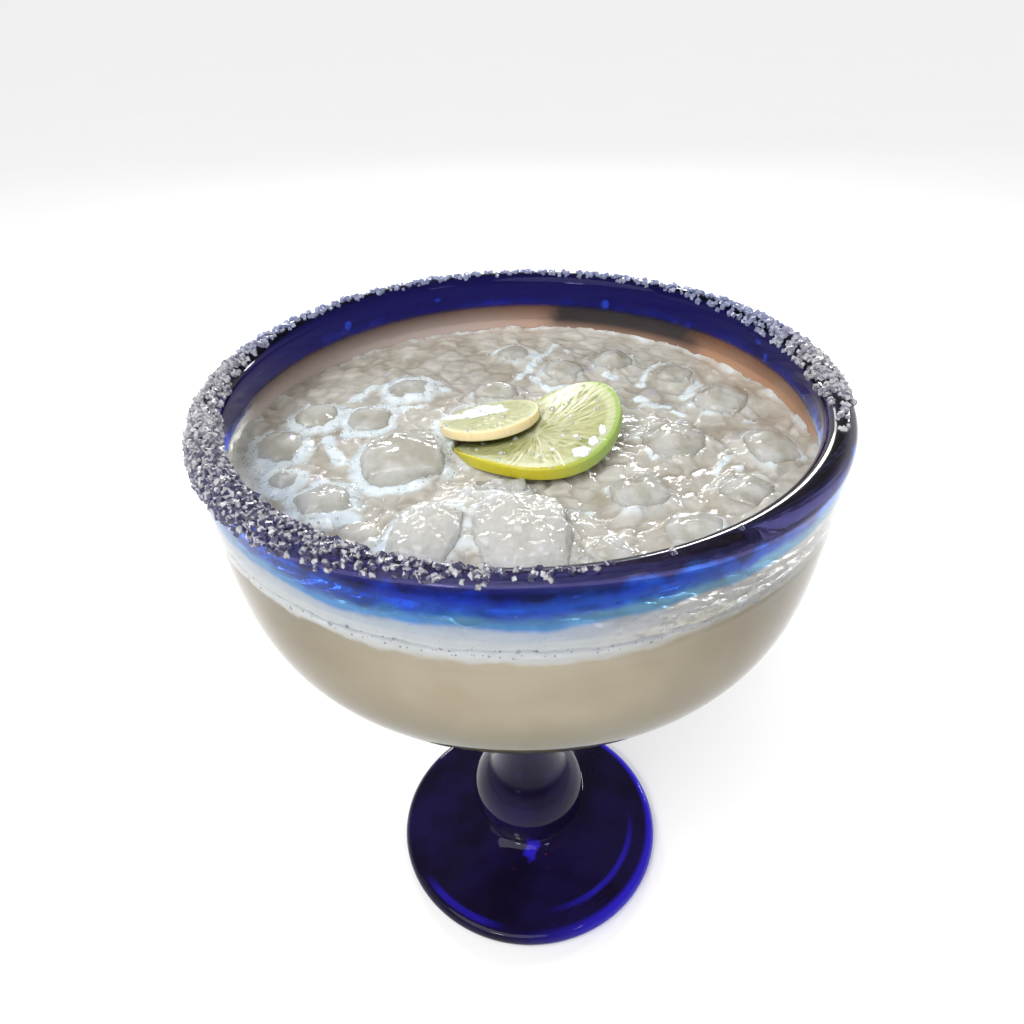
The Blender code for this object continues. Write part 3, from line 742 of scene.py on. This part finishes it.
# Painted shade: a dark patch on the back wall, right of the middle.
shade = x / MM + (film.noise(9.0, 2.0) - 0.5) * 8.0
shade = shade.ramp(4.0, 12.0) * shade.ramp(50.0, 42.0)
shade = shade * ((z - LEVEL) / MM).ramp(0.0, 3.0, 0.45, 0.95)
tan = film.blend(shade, tan, PAINTED_DARK_SHADE)
froth = film.blend(film.noise(2.4, 3.0).ramp(0.3, 0.7), LATHER, BRIGHT_LATHER)
froth = film.blend(film.cells(0.55).ramp(0.22, 0.10) * 0.7, froth, TINY_BUBBLE)
froth = film.blend(film.cells(0.9).ramp(0.12, 0.06) * 0.6, froth, BUBBLE_SHADE)
front = film.blend(lather, THIN_FILM, froth)
film.set(Base_Color=film.blend(back, front, tan))
wisps = film.noise(3.2, 4.0, film.vector(x, y, z * 2.0))
cover = (wisps + lather * 0.45).ramp(0.42, 0.72) * 0.85
lines = ((z / MM + (film.noise(9.0, 2.0) - 0.5) * 1.6) * 0.9).math("SINE").ramp(0.75, 0.95) * 0.4
cover = (cover + lines).math("MINIMUM", 0.92)
cover = cover * (1.0 - back) + back * 0.93
top = (z / MM + (film.noise(7.0, 2.0, film.vector(x, y, 0.0)) - 0.5) * 4.0).ramp(148.0, 144.5)
film.set(Alpha=cover * (top * (1.0 - back) + back * (z / MM).ramp(149.4, 147.4)))
film.bump(wisps, 0.2)

faces = []
for clearance in FILM_FACES:
    wall = bowl_inside(clearance, 160)
    brim = [LIP_RADIUS - LIP_HALF_WIDTH - clearance, GLASS_HEIGHT - LIP_BAND]
    above = [brim[0], GLASS_HEIGHT - LIP_CROWN]
    faces.append(np.vstack([np.linspace(above, brim, 16)[:-1],
                            np.linspace(brim, wall[0], 24)[:-1], wall]))
band = [face[(face[:, 1] > FILM_FOOT) & (face[:, 1] < FILM_TOP)] for face in faces]
shell = np.vstack([band[0], band[1][::-1], band[0][:1]])
piece = turned("wall_film", shell, film.material, FILM_TURNS)
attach(piece, "root")

# The salt is coarse crystals pressed on the wet lip: a thick band on the left, thinner over the
# front and the back, bare at the right front. Grains are scattered over the lip, with their
# thickness and reach by the angle round the rim, and lie on each other.
SALT_RUNS = [(-76.0, 308), (-66.5, 4), (-57.8, 2)]      # the start of each stretch, and its degrees
SALT_ACROSS = 18
SALT_LEFT = (-155.0, 42.0)
SALT_RIGHT = (10.0, 36.0)
SALT_INWARD = (1.5, 2.3, 3.0)
SALT_OUTWARD = (1.8, 5.0, 2.4)
SALT_THICKNESS = (0.34, 0.45, 0.18)
RAGGED_IN, RAGGED_OUT = 0.7 * MM, 1.0 * MM
RAGGED_DEGREES = (2.0, 2.2)             # the length of the waves of either edge
END_SHARE, END_TAPER = 0.35, 30.0       # a stretch thins out to this share over these degrees
GREY_GRAIN, WHITE_GRAIN = (0.40, 0.39, 0.47), (0.94, 0.93, 0.96)
BLUE_GRAIN = (0.42, 0.48, 0.78)         # the grains at the back, with the lip's blue, seen through them, painted into their colour
DARK_FRONT_GRAIN = (0.12, 0.12, 0.24)          # and the dark ones at the front, with the lip's dark blue, seen through them, painted into their colour


def near(angle, middle, spread):
    """1 at an angle round the rim, falling to 0 away from it."""
    apart = (angle - middle + 180.0) % 360.0 - 180.0
    return math.exp(-((apart / spread) ** 2))


def sized(sizes, angle):
    """A size of the salt's band at an angle round the rim, in metres."""
    everywhere, left, right = sizes
    return (everywhere + left * near(angle, *SALT_LEFT) + right * near(angle, *SALT_RIGHT)) * MM


inner = np.linspace([LIP_RADIUS - LIP_HALF_WIDTH, GLASS_HEIGHT - LIP_BAND],
                    [LIP_RADIUS - LIP_HALF_WIDTH, GLASS_HEIGHT - LIP_CROWN], 12)[:-1]
rim = np.vstack([inner, lip(48), bowl_side(np.linspace(0.0, 0.4, 60))[1:]])
lengths = np.concatenate([[0.0], np.cumsum(np.linalg.norm(np.diff(rim, axis=0), axis=1))])
lengths -= lengths[np.argmax(rim[:, 1])]

bed = bmesh.new()
heaps, thick = [], []
stations = [(start - degree, min(degree, degrees - degree)) for start, degrees in SALT_RUNS
            for degree in range(degrees + 1)]
for angle, from_end in stations:
    taper = min(1.0, END_SHARE + from_end / END_TAPER)
    ragged = RAGGED_OUT * noise.noise(Vector((angle / RAGGED_DEGREES[1], 3.0, 0.0)))
    ragged_in = RAGGED_IN * noise.noise(Vector((angle / RAGGED_DEGREES[0], 9.0, 0.0)))
    first = -sized(SALT_INWARD, angle) * taper + ragged_in
    last = sized(SALT_OUTWARD, angle) * taper + ragged
    heap = []
    for across in np.linspace(0.0, 1.0, SALT_ACROSS):
        length = first + (last - first) * across
        radius, height = (np.interp(length, lengths, rim[:, i]) for i in (0, 1))
        spot = Matrix.Rotation(math.radians(angle), 3, "Z") @ Vector((radius, 0.0, height))
        heap.append(bed.verts.new(spot))
        thick.append(sized(SALT_THICKNESS, angle) * taper * math.sin(math.pi * across) ** 0.5)
    heaps.append(heap)
for one, other, (_, before), (_, after) in zip(heaps, heaps[1:], stations, stations[1:]):
    if before == after == 0:            # one stretch ends here and the next starts
        continue
    for a, b, c, d in zip(one, one[1:], other[1:], other):
        bed.faces.new((a, b, c, d))
bmesh.ops.recalc_face_normals(bed, faces=bed.faces)
mesh = bpy.data.meshes.new("salt_grains")
bed.to_mesh(mesh)
bed.free()
if sum(face.normal.z for face in mesh.polygons) < 0:
    mesh.flip_normals()
mark = mesh.attributes.new("thick", "FLOAT", "POINT")
mark.data.foreach_set("value", thick)

crystal = Finish("salt", Roughness=0.12, IOR=1.54, Transmission_Weight=0.55)
x, y, z = crystal.axes(crystal.place())
speck = crystal.noise(1.1, 1.0)
white = crystal.blend(speck.ramp(0.42, 0.56), GREY_GRAIN, WHITE_GRAIN)
# Painted: the lip's blue, seen through the grains at the back.
white = crystal.blend((y / MM).ramp(5.0, 30.0) * 0.8, white, BLUE_GRAIN)
# Painted: the front grains are darkened with the lip's dark blue seen through them.
wet = (y / MM).ramp(-16.0, -44.0)
crystal.set(Base_Color=crystal.blend(wet * speck.ramp(0.62, 0.47), white, DARK_FRONT_GRAIN))
crystal.bump(crystal.noise(0.5, 2.0), 0.12)


class Growth:
    """A Geometry Nodes tree with its inputs and nodes."""

    def __init__(self, name, **inputs):
        self.tree = bpy.data.node_groups.new(name, "GeometryNodeTree")
        for way in ("INPUT", "OUTPUT"):
            self.tree.interface.new_socket("Geometry", in_out=way,
                                           socket_type="NodeSocketGeometry")
        self.keys, self.values = {}, inputs
        for label in inputs:
            made = self.tree.interface.new_socket(label, in_out="INPUT",
                                                  socket_type="NodeSocketFloat")
            self.keys[label] = made.identifier
        self.input = self.tree.nodes.new("NodeGroupInput")
        self.output = self.tree.nodes.new("NodeGroupOutput")

    def get(self, label):
        return self.input.outputs[label]

    def node(self, kind, settings=None, output=0, **values):
        """A socket of a new node; i0, i1 are inputs by place, other names have _ for a space."""
        made = self.tree.nodes.new(kind)
        for setting, value in (settings or {}).items():
            setattr(made, setting, value)
        for name, value in values.items():
            key = int(name[1:]) if name[0] == "i" and name[1:].isdigit() else name.replace("_", " ")
            socket = made.inputs[key]
            if isinstance(value, bpy.types.NodeSocket):
                self.tree.links.new(value, socket)
            else:
                socket.default_value = value
        return made.outputs[output]

    def grow(self, made, geometry, finish):
        """Ends the tree, sets its inputs, makes the result a plain mesh."""
        solid = self.node("GeometryNodeRealizeInstances", Geometry=geometry)
        done = self.node("GeometryNodeSetMaterial", Geometry=solid, Material=finish)
        self.tree.links.new(done, self.output.inputs[0])
        modifier = made.modifiers.new("Grow", "NODES")
        modifier.node_group = self.tree
        for label, value in self.values.items():
            modifier[self.keys[label]] = value
        return plain(made)


grains = Growth("scattered salt", Crowding=2.4e9, Small=0.6 * MM, Large=1.3 * MM)
thickness = grains.node("GeometryNodeInputNamedAttribute", {"data_type": "FLOAT"}, Name="thick")
crowd = grains.node("ShaderNodeMath", {"operation": "MULTIPLY"},
                    i0=thickness, i1=grains.get("Crowding"))
points = grains.node("GeometryNodeDistributePointsOnFaces", Mesh=grains.get("Geometry"),
                     Density=crowd, Seed=4)
scatter = points.node
lift = grains.node("FunctionNodeRandomValue", {"data_type": "FLOAT"}, 1, i2=0.1, i3=0.8, Seed=11)
raised = grains.node("ShaderNodeMath", {"operation": "MULTIPLY"}, i0=thickness, i1=lift)
offset = grains.node("ShaderNodeVectorMath", {"operation": "SCALE"},
                     i0=scatter.outputs["Normal"], Scale=raised)
points = grains.node("GeometryNodeSetPosition", Geometry=points, Offset=offset)
cube = grains.node("GeometryNodeMeshCube", Size=(1.0, 0.86, 0.72))
wobble = grains.node("FunctionNodeRandomValue", {"data_type": "FLOAT_VECTOR"}, 0,
                     Min=(-0.14, -0.14, -0.14), Max=(0.14, 0.14, 0.14), Seed=3)
cube = grains.node("GeometryNodeSetPosition", Geometry=cube, Offset=wobble)
spin = grains.node("FunctionNodeRandomValue", {"data_type": "FLOAT_VECTOR"}, 0,
                   Min=(0.0, 0.0, 0.0), Max=(math.tau, math.tau, math.tau), Seed=7)
size = grains.node("FunctionNodeRandomValue", {"data_type": "FLOAT"}, 1,
                   i2=grains.get("Small"), i3=grains.get("Large"), Seed=5)
placed = grains.node("GeometryNodeInstanceOnPoints", Points=points, Instance=cube,
                     Rotation=spin, Scale=size)
piece = linked("salt_grains", mesh, None)
grains.grow(piece, placed, crystal.material)
for vertex in piece.data.vertices:
    vertex.co = [min(max(at, low), high) for at, low, high in zip(vertex.co, *cad_box)]
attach(piece, "root")
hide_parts("salt_crust")

# Bubbles lie in the foam and along the shore, and beads of water on the lime: small clear balls,
# sunk by half, scattered over the faces that carry them.
# On the lime the beads stand in for glints as well: their whitish colour is partly a painted
# highlight.
DULL_BUBBLE, BRIGHT_BUBBLE = (0.84, 0.86, 0.86), (0.95, 0.97, 0.98)
FOAMY, UPWARD = 0.42, 0.6               # how much foam, and how level a face, the balls need
bubble = Finish("bubble", Roughness=0.02, IOR=1.33, Transmission_Weight=0.6)
bubble.set(Base_Color=bubble.blend(bubble.noise(2.0), DULL_BUBBLE, BRIGHT_BUBBLE))


def beads(name, sources, wanted, slot, **inputs):
    """Small balls of Small to Large size, Density a square metre, on the faces that are wanted."""
    shape = bmesh.new()
    for made in sources:
        shape.from_mesh(made.data)
    unwanted = [face for face in shape.faces if not wanted(face)]
    bmesh.ops.delete(shape, geom=unwanted, context="FACES")
    mesh = bpy.data.meshes.new(name)
    shape.to_mesh(mesh)
    shape.free()
    mesh.materials.clear()
    tree = Growth(name + "_growth", **inputs)
    points = tree.node("GeometryNodeDistributePointsOnFaces", Mesh=tree.get("Geometry"),
                       Density=tree.get("Density"), Seed=2)
    ball = tree.node("GeometryNodeMeshIcoSphere", Radius=0.5, Subdivisions=2)
    ball = tree.node("GeometryNodeSetShadeSmooth", Geometry=ball)
    size = tree.node("FunctionNodeRandomValue", {"data_type": "FLOAT"}, 1, i2=0.0, i3=1.0, Seed=9)
    rare = tree.node("ShaderNodeMath", {"operation": "POWER"}, i0=size, i1=3.0)
    size = tree.node("ShaderNodeMapRange", Value=rare,
                     To_Min=tree.get("Small"), To_Max=tree.get("Large"))
    placed = tree.node("GeometryNodeInstanceOnPoints", Points=points, Instance=ball, Scale=size)
    made = linked(name, mesh, None)
    tree.grow(made, placed, bubble.material)
    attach(made, "root")


def spot(vertex):
    return tuple(round(part, 7) for part in vertex.co)


froth_at = {spot(vertex): value for vertex, value in zip(poured.data.vertices, foam_and_glint_near)}
beads("bubbles", [poured], lambda face: froth_at[spot(face.verts[0])] > FOAMY, "drink",
      Density=5.0e5, Small=0.25 * MM, Large=0.95 * MM)
beads("lime_beads", limes, lambda face: face.normal.z > UPWARD, "drink",
      Density=4.0e4, Small=0.5 * MM, Large=1.6 * MM)

# Froth lies in thick white blobs on the smaller slice and at the right end of the wheel, where they
# also stand in for glints of light on the wet fruit: their white is partly a painted highlight.
# Each is a low dome with a wavy outline, set on the slice it lies on.
Blob = namedtuple("Blob", "lime along back long wide high")
BLOBS = [
    Blob("lime_slice", -7.4, 2.4, 3.4, 1.5, 1.0), Blob("lime_slice", -4.2, 4.8, 2.6, 2.0, 1.1),
    Blob("lime_slice", -2.6, 1.8, 3.0, 1.2, 0.9), Blob("lime_slice", 0.6, 5.2, 2.8, 1.5, 1.0),
    Blob("lime_slice", 1.8, 2.4, 3.0, 1.2, 0.9), Blob("lime_slice", -1.8, 7.6, 2.0, 1.2, 0.9),
    Blob("lime_wheel", 8.9, -12.2, 1.9, 2.0, 1.0), Blob("lime_wheel", 13.6, -6.4, 0.8, 1.7, 0.7),
    Blob("lime_wheel", 11.6, -9.4, 1.2, 1.6, 0.8), Blob("lime_wheel", 7.6, 2.4, 0.6, 0.5, 0.4),
    Blob("lime_wheel", 3.4, -9.6, 0.7, 0.6, 0.5), Blob("lime_wheel", 8.2, -6.0, 0.7, 0.6, 0.5),
    Blob("lime_wheel", 5.6, -4.4, 0.5, 0.5, 0.4), Blob("lime_wheel", 0.4, -11.6, 0.6, 0.5, 0.4),
]
BLOB_TURNS, BLOB_RINGS = 48, 8
BLOB_SUNK = 0.25                # how far its edge reaches into the slice, in mm
BLOB_LOBES, BLOB_WAVE = 1.6, 0.42       # how often its outline waves, and how far
NEXT_BLOB = 5.0
DULL_FROTH_GLINT, BRIGHT_FROTH_GLINT = (0.80, 0.88, 0.88), (0.93, 0.97, 0.97)

thick_froth = Finish("froth", Roughness=0.15, IOR=1.34, Subsurface_Weight=0.6,
                     Subsurface_Radius=(1.0, 1.0, 1.0), Subsurface_Scale=0.001)
white = thick_froth.blend(thick_froth.noise(1.2), DULL_FROTH_GLINT, BRIGHT_FROTH_GLINT)
thick_froth.set(Base_Color=white)
thick_froth.bump(thick_froth.cells(0.7), 0.15)

shape = bmesh.new()
for number, blob in enumerate(BLOBS):
    wheel = LIMES[blob.lime]
    rows = []
    for up in np.linspace(0.0, math.pi / 2, BLOB_RINGS + 1)[:-1]:
        row = []
        for step in range(BLOB_TURNS):
            a = math.tau * step / BLOB_TURNS
            at = Vector((BLOB_LOBES * math.cos(a), BLOB_LOBES * math.sin(a), number * NEXT_BLOB))
            wavy = 1.0 + BLOB_WAVE * noise.noise(at)
            along = (blob.along + blob.long * wavy * math.cos(up) * math.cos(a)) * MM
            back = (blob.back + blob.wide * wavy * math.cos(up) * math.sin(a)) * MM
            high = wheel.thickness / 2 * MM + (blob.high * math.sin(up) - BLOB_SUNK) * MM
            row.append(shape.verts.new(on_lime(wheel, along, back, high)))
        rows.append(row)
    for one, other in zip(rows, rows[1:]):
        for step in range(BLOB_TURNS):
            following = (step + 1) % BLOB_TURNS
            shape.faces.new((one[step], one[following], other[following], other[step]))
    shape.faces.new(rows[-1])
    shape.faces.new(rows[0][::-1])
bmesh.ops.recalc_face_normals(shape, faces=shape.faces)
mesh = bpy.data.meshes.new("froth_blobs")
shape.to_mesh(mesh)
shape.free()
mesh.shade_smooth()
piece = linked("froth_blobs", mesh, thick_froth.material)
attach(piece, "root")

# The stage is a plain pale floor under soft studio light, seen as the photo was taken: close, from
# above the front of the lip.
CAMERA_AT = (0.0, -151.754 * MM, 230.556 * MM)
CAMERA_TURN = (54.4628, 1.4303, -0.0579)
LENS, SENSOR, CLIP_START = 28.4234, 36.0, 0.01
FLOOR_REACH = 8.0
FLOOR_TONES = (0.90, 0.90, 0.90), (0.92, 0.92, 0.92)
pale = Finish("pale floor", Roughness=0.9, Specular_IOR_Level=0.1)
pale.set(Base_Color=pale.blend(pale.noise(90.0), *FLOOR_TONES))
floor_mesh = bpy.data.meshes.new("floor")
floor_shape = bmesh.new()
bmesh.ops.create_grid(floor_shape, x_segments=1, y_segments=1, size=FLOOR_REACH)
floor_shape.to_mesh(floor_mesh)
floor_shape.free()
floor = linked("floor", floor_mesh, pale.material)

Light = namedtuple("Light", "name x y z width height power")
LIGHTS = [
    Light("back strip", 0.02, 0.80, 0.46, 0.50, 0.07, 0.9),
    Light("left window", -0.85, -0.15, 0.60, 0.45, 0.30, 0.6),
    Light("lamp one", 0.14, 0.66, 0.36, 0.11, 0.11, 1.1),
    Light("lamp two", -0.24, 0.62, 0.32, 0.11, 0.11, 1.0),
    Light("lamp three", 0.44, 0.50, 0.36, 0.10, 0.10, 0.9),
    Light("front lamp", -0.30, -0.60, 0.62, 0.12, 0.12, 1.2),
    Light("front lamp two", 0.35, -0.40, 0.75, 0.10, 0.10, 0.4),
]
LIT = Vector((0.0, 0.0, 0.14))          # where the lamps point: the drink's level
for lamp in LIGHTS:
    data = bpy.data.lights.new(lamp.name, "AREA")
    data.shape = "DISK" if lamp.width == lamp.height else "RECTANGLE"
    data.size, data.size_y, data.energy = lamp.width, lamp.height, lamp.power
    made = bpy.data.objects.new(lamp.name, data)
    made.location = (lamp.x, lamp.y, lamp.z)
    made.rotation_euler = (LIT - made.location).to_track_quat("-Z", "Y").to_euler()
    bpy.context.scene.collection.objects.link(made)

SKY_FROM = (-0.30, -0.45, 0.84)
SKY_POWER, SKY_SPREAD = 2.5, 50.0
STUDIO_EDGE = (0.20, 0.52)              # how far up the bright surroundings reach
STUDIO_GLOW = (0.95, 0.20)              # their strength there and overhead
data = bpy.data.lights.new("soft sky", "SUN")
data.energy, data.angle = SKY_POWER, math.radians(SKY_SPREAD)
sky = bpy.data.objects.new("soft sky", data)
sky.rotation_euler = (-Vector(SKY_FROM)).to_track_quat("-Z", "Y").to_euler()
bpy.context.scene.collection.objects.link(sky)

world = bpy.data.worlds.new("studio")
world.use_nodes = True
background = world.node_tree.nodes["Background"]
put(world.node_tree, background.inputs["Color"], (1.0, 1.0, 1.0))
direction = world.node_tree.nodes.new("ShaderNodeTexCoord")
upward = world.node_tree.nodes.new("ShaderNodeSeparateXYZ")
world.node_tree.links.new(direction.outputs["Generated"], upward.inputs[0])
glow = Value(world.node_tree, upward.outputs["Z"]).ramp(*STUDIO_EDGE, *STUDIO_GLOW)
put(world.node_tree, background.inputs["Strength"], glow)
bpy.context.scene.world = world
bpy.context.scene.view_settings.view_transform = "Standard"

eye = bpy.data.cameras.new("camera")
eye.lens, eye.sensor_width, eye.clip_start = LENS, SENSOR, CLIP_START
camera = bpy.data.objects.new("camera", eye)
camera.location = CAMERA_AT
camera.rotation_euler = [math.radians(angle) for angle in CAMERA_TURN]
bpy.context.scene.collection.objects.link(camera)
bpy.context.scene.camera = camera
